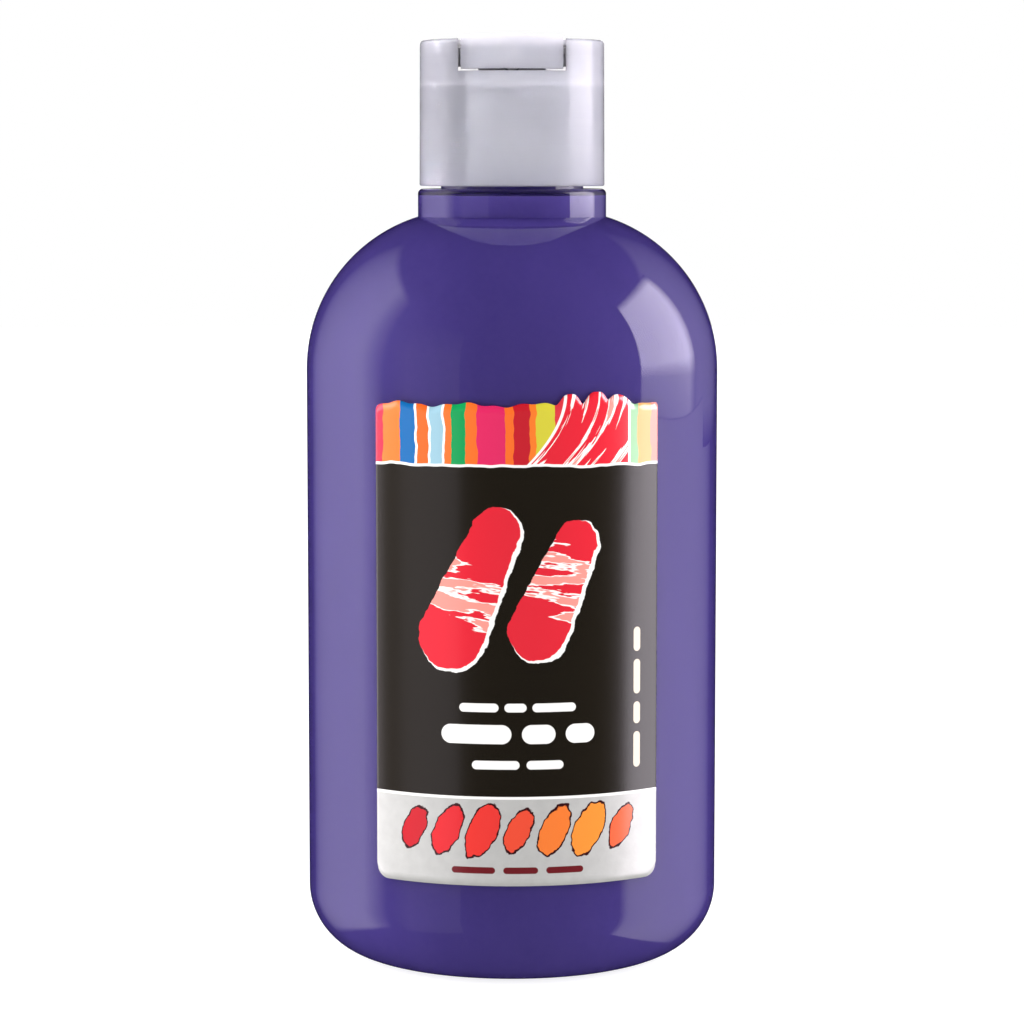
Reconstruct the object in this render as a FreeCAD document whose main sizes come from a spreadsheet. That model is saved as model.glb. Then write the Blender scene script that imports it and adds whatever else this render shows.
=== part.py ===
import FreeCAD, Part
import math
import os

import Sketcher
from FreeCAD import Vector

# A clear squeeze bottle of acrylic paint with a smooth press-top cap.
#
# Frame: millimetres, +Z up, origin at the centre of the surface that the bottle stands on. The front of
# the bottle, with its label and the notch of the cap, faces -Y. Every piece takes its sizes from the sheet
# below, so pieces that fit together follow the same values.

SIZES = {
    # bottle
    "body_radius": 36.8,
    "wall": 0.9,
    "heel_radius": 12.4,
    "ring_width": 2.4,
    "push_up": 4.6,
    "shoulder_radius": 28.4,
    "collar_proud": 0.3,
    "collar_height": 4.97,
    "collar_wall": 1.25,
    "collar_top": 137.7,
    "collar_round": 0.9,
    # threaded finish
    "finish_length": 17.2,
    "root_radius": 12.7,
    "bore_radius": 10.8,
    "thread_depth": 1.1,
    "thread_root": 2.3,
    "thread_crest": 1.1,
    "pitch": 4.233,
    "thread_turns": 1.5,
    "thread_start": 7.4,
    "thread_clear": 0.15,
    # paint
    "fill_gap": 0.1,
    "headspace": 6.6,
    # labels
    "label_gap": 0.05,
    "label_paper": 0.12,
    "label_angle": 82.0,
    "label_shift": 1.7,
    "label_over_heel": 6.4,
    "label_under_shoulder": 2.0,
    "back_over_heel": 8.6,
    "back_under_shoulder": 6.6,
    "label_corner": 2.6,
    # seal liner
    "liner_thickness": 0.8,
    "liner_hole": 4.0,
    "liner_clear": 0.35,
    # cap body
    "skirt_gap": 0.65,
    "cap_draft": 0.12,
    "cap_gap": 0.5,
    "cap_wall": 1.0,
    "rim_round": 0.7,
    "skirt_wall": 0.9,
    "skirt_lift": 1.8,
    "deck": 1.0,
    "well_wall": 1.18,
    "notch_width": 18.8,
    "notch_depth": 5.6,
    "saddle_length": 11.0,
    "saddle_width": 4.4,
    "port_length": 5.0,
    "port_width": 1.2,
    # disc
    "disc_clear": 0.25,
    "rear_clear": 0.193,
    "ball_clear": 0.15,
    "disc_drop": 0.25,
    "disc_plate": 1.0,
    "crown": 0.65,
    "crown_fall": 0.3,
    "lobe_gap": 0.45,
    "lobe_lift": 0.3,
    "lobe_back": 6.0,
    "lobe_wall": 1.3,
    "pivot_drop": 3.4,
    "drum_radius": 3.3,
    "drum_length": 12.0,
    "drum_clear": 0.08,
    "axle_radius": 1.2,
    "axle_clear": 0.08,
    "axle_reach": 0.55,
    "socket_extra": 0.15,
    "nozzle_radius": 2.1,
    "nozzle_bore": 1.3,
    "spout_bore": 1.1,
    "web": 1.2,
    "dish_radius": 16.0,
    "dish_depth": 0.45,
    "dish_back": 8.6,
    "tilt": 22.0,
}
SHEET = "Sizes"
FRONT = -90.0  # direction of the front, in degrees from +X


class Size:
    """A length that carries its value and the sheet expression that gives it."""

    def __init__(self, value, text):
        self.value = value
        self.text = text

    def __add__(self, other):
        other = size(other)
        return Size(self.value + other.value, f"({self.text} + {other.text})")

    def __sub__(self, other):
        other = size(other)
        return Size(self.value - other.value, f"({self.text} - {other.text})")

    def __mul__(self, other):
        other = size(other)
        return Size(self.value * other.value, f"({self.text} * {other.text})")

    def __truediv__(self, other):
        other = size(other)
        return Size(self.value / other.value, f"({self.text} / {other.text})")

    def __neg__(self):
        return Size(-self.value, f"(-1 * {self.text})")

    __radd__ = __add__
    __rmul__ = __mul__


def size(number):
    """A plain number as a Size; a Size stays as it is."""
    return number if isinstance(number, Size) else Size(float(number), repr(float(number)))


def root(number):
    return Size(math.sqrt(number.value), f"sqrt({number.text})")


def sine(angle):
    return Size(math.sin(math.radians(angle.value)), f"sin({angle.text})")


def cosine(angle):
    return Size(math.cos(math.radians(angle.value)), f"cos({angle.text})")


def arc_rise(radius, across):
    """Height of a quarter arc above its centre at a distance across from it."""
    return root(radius * radius - across * across)


class Sheet:
    """Attribute access to the driving sizes, each as a Size."""

    def __getattr__(self, alias):
        return Size(SIZES[alias], f"{SHEET}.{alias}")


S = Sheet()
doc = FreeCAD.newDocument("PaintBottle")


def write_sheet():
    sheet = doc.addObject("Spreadsheet::Sheet", SHEET)
    for row, (alias, value) in enumerate(SIZES.items(), start=1):
        sheet.set(f"A{row}", alias)
        sheet.set(f"B{row}", str(value))
        sheet.setAlias(f"B{row}", alias)
    doc.recompute()


# ---------------------------------------------------------------- heights and radii that several pieces share

FINISH_TOP = S.collar_top + S.finish_length
DECK_UNDER = FINISH_TOP + S.liner_thickness
DECK_TOP = DECK_UNDER + S.deck
CAP_BOTTOM = S.collar_top + S.cap_gap
CREST_RADIUS = S.root_radius + S.thread_depth
SKIRT_INNER = CREST_RADIUS + S.thread_clear
SKIRT_OUTER = SKIRT_INNER + S.skirt_wall
CAP_WALL_INNER = SKIRT_OUTER + S.skirt_gap
CAP_RADIUS = CAP_WALL_INNER + S.cap_wall
CAP_TOP_RADIUS = CAP_RADIUS - S.cap_draft
WELL_RADIUS = CAP_TOP_RADIUS - S.well_wall
THREAD_Z = S.collar_top + S.thread_start
COLLAR_RADIUS = CAP_RADIUS + S.collar_proud
SHOULDER_ACROSS = S.body_radius - S.shoulder_radius
SHOULDER_RISE = arc_rise(S.shoulder_radius, COLLAR_RADIUS - SHOULDER_ACROSS)
SHOULDER_START = S.collar_top - S.collar_height - SHOULDER_RISE
HEEL_AXIS = S.body_radius - S.heel_radius
RING_INNER = HEEL_AXIS - S.ring_width
DOME_RADIUS = (RING_INNER * RING_INNER + S.push_up * S.push_up) / (2 * S.push_up)
DISC_RADIUS = WELL_RADIUS - S.disc_clear
# the disc's back edge, tilted down, just clears the deck, which sets the height of the pivot and of the rim
PLATE_OVER_PIVOT = S.pivot_drop - S.disc_drop - S.disc_plate
PIVOT = DECK_TOP + S.rear_clear + DISC_RADIUS * sine(S.tilt) - PLATE_OVER_PIVOT * cosine(S.tilt)
RIM = PIVOT + S.pivot_drop
PLATE_TOP = RIM - S.disc_drop
PLATE_UNDER = PLATE_TOP - S.disc_plate
LOBE_WIDTH = S.notch_width - 2 * S.lobe_gap
LOBE_BOTTOM = RIM - S.notch_depth + S.lobe_lift
LOBE_TOP = RIM + S.crown


# ---------------------------------------------------------------- sketch and feature helpers


def origin_item(body, role):
    return next(item for item in body.Origin.OriginFeatures if item.Role == role)


def arc_between(start, end, radius, turn):
    """The short arc from start to end; turn is 1 with its centre on the left of the way, -1 on the right."""
    chord = end - start
    middle = (start + end) * 0.5
    rise = math.sqrt(max(radius**2 - (chord.Length / 2) ** 2, 0.0))
    left = Vector(-chord.y, chord.x, 0).normalize()
    centre = middle + left * (rise * turn)
    first, last = (start, end) if turn > 0 else (end, start)
    angles = [math.atan2(p.y - centre.y, p.x - centre.x) for p in (first, last)]
    return Part.ArcOfCircle(Part.Circle(centre, Vector(0, 0, 1), radius), *angles)


def profile(body, name, plane, corners, arcs=None):
    """A closed sketch on a base plane: corner places and arc radii are bound to the sheet.

    corners is a list of (across, up) sizes; arcs gives {index of the corner an arc leaves: (radius, turn)}.
    """
    arcs = arcs or {}
    sketch = body.newObject("Sketcher::SketchObject", name)
    sketch.AttachmentSupport = [(origin_item(body, plane), "")]
    sketch.MapMode = "FlatFace"
    places = [(size(across), size(up)) for across, up in corners]
    points = [Vector(across.value, up.value, 0) for across, up in places]
    ends = []
    for index, start in enumerate(points):
        end = points[(index + 1) % len(points)]
        if index in arcs:
            radius, turn = size(arcs[index][0]), arcs[index][1]
            edge = sketch.addGeometry(arc_between(start, end, radius.value, turn), False)
            ends.append((edge, 1, 2) if turn > 0 else (edge, 2, 1))
        else:
            edge = sketch.addGeometry(Part.LineSegment(start, end), False)
            ends.append((edge, 1, 2))
    for index, (edge, first, last) in enumerate(ends):
        follower, follower_first, _ = ends[(index + 1) % len(ends)]
        sketch.addConstraint(Sketcher.Constraint("Coincident", edge, last, follower, follower_first))
    for index, (across, up) in enumerate(places):
        edge, first, _ = ends[index]
        for kind, axis, distance in (("DistanceX", -2, across), ("DistanceY", -1, up)):
            if distance.value == 0:
                sketch.addConstraint(Sketcher.Constraint("PointOnObject", edge, first, axis))
            else:
                bind(sketch, Sketcher.Constraint(kind, -1, 1, edge, first, distance.value), distance)
        if index in arcs:
            radius = size(arcs[index][0])
            bind(sketch, Sketcher.Constraint("Radius", edge, radius.value), radius)
    return sketch


def bind(sketch, constraint, distance):
    sketch.setExpression(f"Constraints[{sketch.addConstraint(constraint)}]", distance.text)


def circle_sketch(body, name, plane, across, up, radius):
    """A circle on a base plane, bound to the sheet."""
    sketch = body.newObject("Sketcher::SketchObject", name)
    sketch.AttachmentSupport = [(origin_item(body, plane), "")]
    sketch.MapMode = "FlatFace"
    centre = Vector(size(across).value, size(up).value, 0)
    edge = sketch.addGeometry(Part.Circle(centre, Vector(0, 0, 1), radius.value), False)
    for kind, axis, distance in (("DistanceX", -2, size(across)), ("DistanceY", -1, size(up))):
        if distance.value == 0:
            sketch.addConstraint(Sketcher.Constraint("PointOnObject", edge, 3, axis))
        else:
            bind(sketch, Sketcher.Constraint(kind, -1, 1, edge, 3, distance.value), distance)
    bind(sketch, Sketcher.Constraint("Radius", edge, radius.value), radius)
    return sketch


def new_body(name):
    body = doc.addObject("PartDesign::Body", name)
    body.Label = name
    return body


def turned(body, name, sketch, angle=None, midplane=False):
    """Revolves a sketch of the XZ plane about Z, all the way round unless an angle is given."""
    feature = body.newObject("PartDesign::Revolution", name)
    feature.Profile = sketch
    feature.ReferenceAxis = (sketch, ["V_Axis"])
    feature.Angle = 360.0
    feature.Midplane = midplane
    if angle is not None:
        feature.setExpression("Angle", angle.text)
    doc.recompute()
    return feature


def thread_ridge(body, name, sketch):
    """Winds a ridge's section up the axis as a right-handed thread."""
    ridge = body.newObject("PartDesign::AdditiveHelix", name)
    ridge.Profile = sketch
    ridge.ReferenceAxis = (sketch, ["V_Axis"])
    ridge.Mode = "pitch-turns-angle"
    ridge.LeftHanded = False
    ridge.setExpression("Pitch", S.pitch.text)
    ridge.setExpression("Turns", S.thread_turns.text)
    grows(body, ridge)
    return ridge


def grows(body, feature):
    """Recomputes an additive feature and makes sure that it added material."""
    before = feature.BaseFeature.Shape.Volume if feature.BaseFeature else 0.0
    doc.recompute()
    if feature.Shape.Volume <= before:
        raise RuntimeError(f"{feature.Label} adds nothing to {body.Label}")


def pocket(body, name, sketch, length, reverse=False, midplane=False):
    """Cuts a sketch out of the body over a length and makes sure that it removed material."""
    before = body.Tip.Shape.Volume
    feature = body.newObject("PartDesign::Pocket", name)
    feature.Profile = sketch
    feature.Reversed = reverse
    feature.Midplane = midplane
    feature.setExpression("Length", size(length).text)
    doc.recompute()
    if feature.Shape.Volume >= before:
        raise RuntimeError(f"{name} cuts nothing from {body.Label}")
    return feature


def rectangle(left, bottom, right, top):
    return [(left, bottom), (right, bottom), (right, top), (left, top)]


# ---------------------------------------------------------------- bottle, paint and liner


def inside_line(gap):
    """The bottle's inside from the axis at the base up to the bore, drawn in by a gap.

    Returns the corners and the arcs of profile().
    """
    skin = S.wall + gap
    neck = COLLAR_RADIUS - S.collar_wall - gap
    shelf = S.collar_top - S.collar_wall - gap
    corners = [
        (0, S.push_up + skin),
        (RING_INNER, skin),
        (HEEL_AXIS, skin),
        (S.body_radius - skin, S.heel_radius),
        (S.body_radius - skin, SHOULDER_START),
        (neck, SHOULDER_START + arc_rise(S.shoulder_radius - skin, neck - SHOULDER_ACROSS)),
        (neck, shelf),
        (S.bore_radius - gap, shelf),
    ]
    arcs = {
        0: (DOME_RADIUS, -1),
        2: (S.heel_radius - skin, 1),
        4: (S.shoulder_radius - skin, 1),
    }
    return corners, arcs


def ridge_section(body, name, wall, crest, centre):
    """The trapezoid of a thread ridge on the XZ plane, from inside its wall to its crest."""
    outwards = 1 if crest.value > wall.value else -1
    buried = wall - outwards * S.thread_clear
    return profile(
        body,
        name,
        "XZ_Plane",
        [
            (buried, centre - S.thread_root / 2),
            (crest, centre - S.thread_crest / 2),
            (crest, centre + S.thread_crest / 2),
            (buried, centre + S.thread_root / 2),
        ],
    )


def make_bottle():
    body = new_body("bottle")
    outside = [
        (0, S.push_up),
        (RING_INNER, 0),
        (HEEL_AXIS, 0),
        (S.body_radius, S.heel_radius),
        (S.body_radius, SHOULDER_START),
        (COLLAR_RADIUS, S.collar_top - S.collar_height),
        (COLLAR_RADIUS, S.collar_top - S.collar_round),
        (COLLAR_RADIUS - S.collar_round, S.collar_top),
        (S.root_radius, S.collar_top),
        (S.root_radius, FINISH_TOP),
        (S.bore_radius, FINISH_TOP),
    ]
    inside, inside_arcs = inside_line(size(0))
    corners = outside + inside[::-1]
    arcs = {
        0: (DOME_RADIUS, -1),
        2: (S.heel_radius, 1),
        4: (S.shoulder_radius, 1),
        6: (S.collar_round, 1),
    }
    for index, (radius, turn) in inside_arcs.items():
        arcs[len(corners) - 2 - index] = (radius, -turn)
    turned(body, "blown_shell", profile(body, "shell_line", "XZ_Plane", corners, arcs))
    section = ridge_section(body, "neck_thread_section", S.root_radius, CREST_RADIUS, THREAD_Z)
    thread_ridge(body, "neck_thread", section)


def make_paint():
    body = new_body("paint_fill")
    corners, arcs = inside_line(S.fill_gap)
    level = FINISH_TOP - S.headspace
    corners += [(S.bore_radius - S.fill_gap, level), (0, level)]
    turned(body, "filling", profile(body, "filling_line", "XZ_Plane", corners, arcs))


def make_liner():
    body = new_body("seal_liner")
    outer = SKIRT_INNER - S.liner_clear
    line = rectangle(S.liner_hole, FINISH_TOP, outer, DECK_UNDER)
    turned(body, "washer", profile(body, "washer_line", "XZ_Plane", line))


def make_label(name, bottom, top, facing):
    """A curved paper patch on the bottle, centred on a direction given in degrees from +X."""
    body = new_body(name)
    inner = S.body_radius + S.label_gap
    line = rectangle(inner, bottom, inner + S.label_paper, top)
    patch = turned(body, name + "_patch", profile(body, name + "_line", "XZ_Plane", line), S.label_angle, True)
    corners = [
        f"Edge{number}"
        for number, edge in enumerate(patch.Shape.Edges, start=1)
        if abs(edge.Length - S.label_paper.value) < 1e-3
    ]
    rounding = body.newObject("PartDesign::Fillet", name + "_corners")
    rounding.Base = (patch, corners)
    rounding.setExpression("Radius", S.label_corner.text)
    doc.recompute()
    body.Placement = FreeCAD.Placement(Vector(0, 0, 0), FreeCAD.Rotation(Vector(0, 0, 1), facing.value))
    body.setExpression("Placement.Rotation.Angle", facing.text)


# ---------------------------------------------------------------- cap body


def make_cap():
    body = new_body("cap_body")
    line = [
        (0, DECK_UNDER),
        (SKIRT_INNER, DECK_UNDER),
        (SKIRT_INNER, CAP_BOTTOM + S.skirt_lift),
        (SKIRT_OUTER, CAP_BOTTOM + S.skirt_lift),
        (SKIRT_OUTER, DECK_UNDER),
        (CAP_WALL_INNER, DECK_UNDER),
        (CAP_WALL_INNER, CAP_BOTTOM),
        (CAP_RADIUS, CAP_BOTTOM),
        (CAP_TOP_RADIUS, RIM - S.rim_round),
        (CAP_TOP_RADIUS - S.rim_round, RIM),
        (WELL_RADIUS, RIM),
        (WELL_RADIUS, DECK_TOP),
        (0, DECK_TOP),
    ]
    turned(body, "moulding", profile(body, "moulding_line", "XZ_Plane", line, {8: (S.rim_round, 1)}))
    section = ridge_section(
        body, "skirt_thread_section", SKIRT_INNER, S.root_radius + S.thread_clear, THREAD_Z - S.pitch / 2
    )
    thread_ridge(body, "skirt_thread", section)
    add_saddle(body)

    half_notch = S.notch_width / 2
    notch = rectangle(-half_notch, RIM - S.notch_depth, half_notch, RIM + S.rim_round)
    pocket(body, "notch", profile(body, "notch_line", "XZ_Plane", notch), 2 * CAP_RADIUS, reverse=True)
    socket = circle_sketch(body, "socket_line", "YZ_Plane", 0, PIVOT, S.axle_radius + S.axle_clear)
    pocket(body, "sockets", socket, 2 * (WELL_RADIUS + S.axle_reach + S.socket_extra), midplane=True)
    half_port = S.port_length / 2
    slit = rectangle(-half_port, -S.port_width / 2, half_port, S.port_width / 2)
    pocket(body, "port", profile(body, "port_line", "XY_Plane", slit), RIM, reverse=True)


def add_saddle(body):
    """The block on the deck whose hollow top carries and seals the disc's drum."""
    seat = S.drum_radius + S.drum_clear
    half = S.saddle_width / 2
    lip = PIVOT - root(seat * seat - half * half)
    floor = DECK_TOP - S.deck / 2
    line = [(-half, floor), (half, floor), (half, lip), (-half, lip)]
    saddle = body.newObject("PartDesign::Pad", "saddle")
    saddle.Profile = profile(body, "saddle_line", "YZ_Plane", line, {2: (seat, -1)})
    saddle.Midplane = True
    saddle.setExpression("Length", S.saddle_length.text)
    grows(body, saddle)


# ---------------------------------------------------------------- disc, from bound primitives and booleans


def primitive(kind, name, sizes, place=(0, 0, 0), rotation=None):
    """A Part primitive with its sizes and place bound to the sheet."""
    item = doc.addObject(kind, name)
    if rotation:
        item.Placement = FreeCAD.Placement(Vector(0, 0, 0), FreeCAD.Rotation(*rotation))
    for key, value in sizes.items():
        setattr(item, key, size(value).value)
        item.setExpression(key, size(value).text)
    for axis, value in zip("xyz", place):
        item.setExpression(f"Placement.Base.{axis}", size(value).text)
    return item


def block(name, low, high):
    spans = [size(top) - size(bottom) for bottom, top in zip(low, high)]
    return primitive("Part::Box", name, dict(zip(("Length", "Width", "Height"), spans)), low)


def rod(name, radius, length, place, rotation=None):
    return primitive("Part::Cylinder", name, {"Radius": radius, "Height": length}, place, rotation)


def combine(kind, name, shapes):
    item = doc.addObject(kind, name)
    item.Shapes = shapes
    return item


def subtract(name, base, tool):
    item = doc.addObject("Part::Cut", name)
    item.Base = base
    item.Tool = tool
    return item


ALONG_X = (Vector(0, 1, 0), 90)
ALONG_FRONT = (Vector(1, 0, 0), 90)
DOWN_FRONT = (Vector(1, 0, 0), 135)
ROUND_ALONG_BACK = (Vector(1, 0, 0), -90)


def make_disc():
    half = LOBE_WIDTH / 2
    reach = CAP_TOP_RADIUS
    ball = primitive("Part::Sphere", "rim_ball", {"Radius": WELL_RADIUS - S.ball_clear}, (0, 0, PIVOT))
    plate = combine(
        "Part::MultiCommon",
        "plate",
        [rod("plate_round", DISC_RADIUS, S.disc_plate, (0, 0, PLATE_UNDER)), ball],
    )

    crown_radius = (half * half + S.crown_fall * S.crown_fall) / (2 * S.crown_fall)
    band = combine(
        "Part::MultiCommon",
        "crowned_band",
        [
            block("band_block", (-half, -reach, PLATE_UNDER), (half, S.lobe_back, LOBE_TOP + S.crown)),
            rod("band_round", reach, LOBE_TOP, (0, 0, 0)),
            rod(
                "band_crown",
                crown_radius,
                2 * reach,
                (0, -reach, LOBE_TOP - crown_radius),
                ROUND_ALONG_BACK,
            ),
        ],
    )

    lobe_block = block("lobe_block", (-half, -reach, LOBE_BOTTOM), (half, -S.nozzle_radius, PLATE_TOP))
    lobe_round = combine(
        "Part::MultiCommon", "lobe_round", [lobe_block, rod("lobe_outside", reach, RIM, (0, 0, 0))]
    )
    lobe = subtract("lobe_front", lobe_round, rod("lobe_inside", reach - S.lobe_wall, RIM, (0, 0, 0)))

    axle_end = WELL_RADIUS + S.axle_reach
    drum = rod("drum", S.drum_radius, S.drum_length, (-(S.drum_length / 2), 0, PIVOT), ALONG_X)
    axle = rod("axle", S.axle_radius, 2 * axle_end, (-axle_end, 0, PIVOT), ALONG_X)
    nozzle = rod("nozzle", S.nozzle_radius, reach - S.lobe_wall / 2, (0, 0, PIVOT), ALONG_FRONT)
    rib_end = DISC_RADIUS - S.axle_reach
    rib = block("rib", (-rib_end, -(S.web / 2), PIVOT), (rib_end, S.web / 2, PLATE_TOP - S.disc_plate / 2))
    moulding = combine("Part::MultiFuse", "disc_moulding", [plate, band, lobe, drum, axle, nozzle, rib])

    # the channel runs forward, then drops through the spout to open under the lobe's lip
    spout_start = reach - S.lobe_wall - 1.2 * S.nozzle_radius
    channel = rod("channel", S.nozzle_bore, spout_start + S.spout_bore, (0, 0, PIVOT), ALONG_FRONT)
    spout = rod("spout", S.spout_bore, 2.2 * S.nozzle_radius, (0, -spout_start, PIVOT), DOWN_FRONT)
    valve_port = primitive(
        "Part::Box",
        "valve_port",
        {"Length": S.port_length, "Width": S.port_width, "Height": S.drum_radius + S.drum_clear},
    )
    aim_port(valve_port)
    dish_height = PLATE_TOP + S.dish_radius - S.dish_depth
    dish = primitive("Part::Sphere", "finger_dish", {"Radius": S.dish_radius}, (0, S.dish_back, dish_height))
    hollows = combine("Part::MultiFuse", "hollows", [channel, spout, valve_port, dish])
    disc = subtract("disc", moulding, hollows)
    disc.Label = "disc"
    doc.recompute()


def aim_port(valve_port):
    """Turns the drum's slit so that it points straight down when the disc is fully tilted."""
    half_width = S.port_width / 2
    aim = S.tilt + 180
    corner = (-(S.port_length / 2), half_width * cosine(S.tilt), PIVOT + half_width * sine(S.tilt))
    valve_port.Placement = FreeCAD.Placement(Vector(0, 0, 0), FreeCAD.Rotation(Vector(1, 0, 0), aim.value))
    valve_port.setExpression("Placement.Rotation.Angle", aim.text)
    for axis, value in zip("xyz", corner):
        valve_port.setExpression(f"Placement.Base.{axis}", value.text)


# ---------------------------------------------------------------- checks and files

NODES = ("bottle", "paint_fill", "front_label", "back_label", "seal_liner", "cap_body", "disc")


def check_document():
    for item in doc.Objects:
        if {"Invalid", "Error"} & set(item.State):
            raise RuntimeError(f"{item.Label}: {item.State}")
    for name in NODES:
        shape = doc.getObjectsByLabel(name)[0].Shape
        if shape.isNull() or not shape.isValid() or len(shape.Solids) != 1:
            raise RuntimeError(f"{name} is not one valid solid")
        print(f"{name:12s} {shape.Volume / 1000:9.3f} cm3  {shape.BoundBox}")


def main():
    write_sheet()
    make_bottle()
    make_paint()
    make_liner()
    front = (S.heel_radius + S.label_over_heel, SHOULDER_START - S.label_under_shoulder)
    back = (S.heel_radius + S.back_over_heel, SHOULDER_START - S.back_under_shoulder)
    make_label("front_label", *front, S.label_shift + FRONT)
    make_label("back_label", *back, size(-FRONT))
    make_cap()
    make_disc()
    doc.recompute()
    check_document()
    os.makedirs("parts", exist_ok=True)
    for name in NODES:
        doc.getObjectsByLabel(name)[0].Shape.exportStep(f"parts/{name}.step")


main()
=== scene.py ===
import logging
import math
from dataclasses import dataclass
from enum import Enum

import bmesh
import bpy
from mathutils import Matrix, Vector


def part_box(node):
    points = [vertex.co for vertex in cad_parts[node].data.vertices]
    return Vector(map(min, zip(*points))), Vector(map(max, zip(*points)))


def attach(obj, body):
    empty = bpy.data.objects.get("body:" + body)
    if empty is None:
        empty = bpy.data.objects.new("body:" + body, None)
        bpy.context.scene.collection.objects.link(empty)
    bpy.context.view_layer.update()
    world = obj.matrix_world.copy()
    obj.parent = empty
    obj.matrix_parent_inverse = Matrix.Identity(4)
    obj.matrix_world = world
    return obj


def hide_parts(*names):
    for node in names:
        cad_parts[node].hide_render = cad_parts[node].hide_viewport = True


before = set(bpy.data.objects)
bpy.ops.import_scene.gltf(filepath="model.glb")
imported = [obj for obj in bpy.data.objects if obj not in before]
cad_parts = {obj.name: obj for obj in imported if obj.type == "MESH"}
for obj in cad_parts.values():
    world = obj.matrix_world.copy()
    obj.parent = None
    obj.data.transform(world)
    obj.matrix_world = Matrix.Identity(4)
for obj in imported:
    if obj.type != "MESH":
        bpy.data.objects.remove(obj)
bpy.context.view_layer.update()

MM = 0.001
UV_NAME = "UVMap"
MERGE = 1e-7
SLIVER = 2e-6
ON_AXIS = 1e-9
LABEL_LIFT = 0.165
LOG = logging.getLogger("paint_bottle")

Point = tuple[float, float]
Triple = tuple[float, float, float]
Place = Triple
Colour = Triple


class Body(Enum):
    """The rigid bodies that the pieces ride on."""

    BOTTLE = "bottle_body"
    LINER = "liner_body"
    CAP = "cap"
    DISC = "press_disc"


class Slot(Enum):
    """The record's material slots."""

    CLEAR = "clear_plastic"
    PAINT = "violet_paint"
    LABEL = "label_paper"
    FOAM = "liner_foam"
    CAP = "cap_plastic"


# ---------------------------------------------------------------- shader expressions


class Sock:
    """A shader socket that numbers and other sockets can be combined with."""

    def __init__(self, tree: "Tree", socket: bpy.types.NodeSocket) -> None:
        """Wraps one output socket of a tree."""
        self.tree = tree
        self.socket = socket

    def __add__(self, other: "Value") -> "Sock":
        """Sum."""
        return self.tree.maths("ADD", self, other)

    def __sub__(self, other: "Value") -> "Sock":
        """Difference."""
        return self.tree.maths("SUBTRACT", self, other)

    def __rsub__(self, other: "Value") -> "Sock":
        """Difference from a number."""
        return self.tree.maths("SUBTRACT", other, self)

    def __mul__(self, other: "Value") -> "Sock":
        """Product."""
        return self.tree.maths("MULTIPLY", self, other)

    def __truediv__(self, other: "Value") -> "Sock":
        """Quotient."""
        return self.tree.maths("DIVIDE", self, other)

    def __pow__(self, other: "Value") -> "Sock":
        """Power."""
        return self.tree.maths("POWER", self, other)

    __radd__ = __add__
    __rmul__ = __mul__

    def size(self) -> "Sock":
        """Absolute value."""
        return self.tree.maths("ABSOLUTE", self)

    def least(self, other: "Value") -> "Sock":
        """The smaller of the two."""
        return self.tree.maths("MINIMUM", self, other)

    def most(self, other: "Value") -> "Sock":
        """The larger of the two."""
        return self.tree.maths("MAXIMUM", self, other)

    def above(self, edge: "Value", blur: float = 0.08) -> "Sock":
        """A mask that rises from 0 to 1 where the value passes an edge.

        Args:
            edge: Value at the middle of the rise.
            blur: Width of the rise.

        Returns:
            The mask, clamped to 0 and 1.
        """
        return self.tree.maths("MULTIPLY_ADD", self - edge, 1 / blur, 0.5, clamp=True)

    def below(self, edge: "Value", blur: float = 0.08) -> "Sock":
        """The mask of values under an edge."""
        return 1 - self.above(edge, blur)

    def between(self, low: "Value", high: "Value", blur: float = 0.08) -> "Sock":
        """The mask of values from low to high."""
        return self.above(low, blur) * self.below(high, blur)


Value = float | Sock


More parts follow.
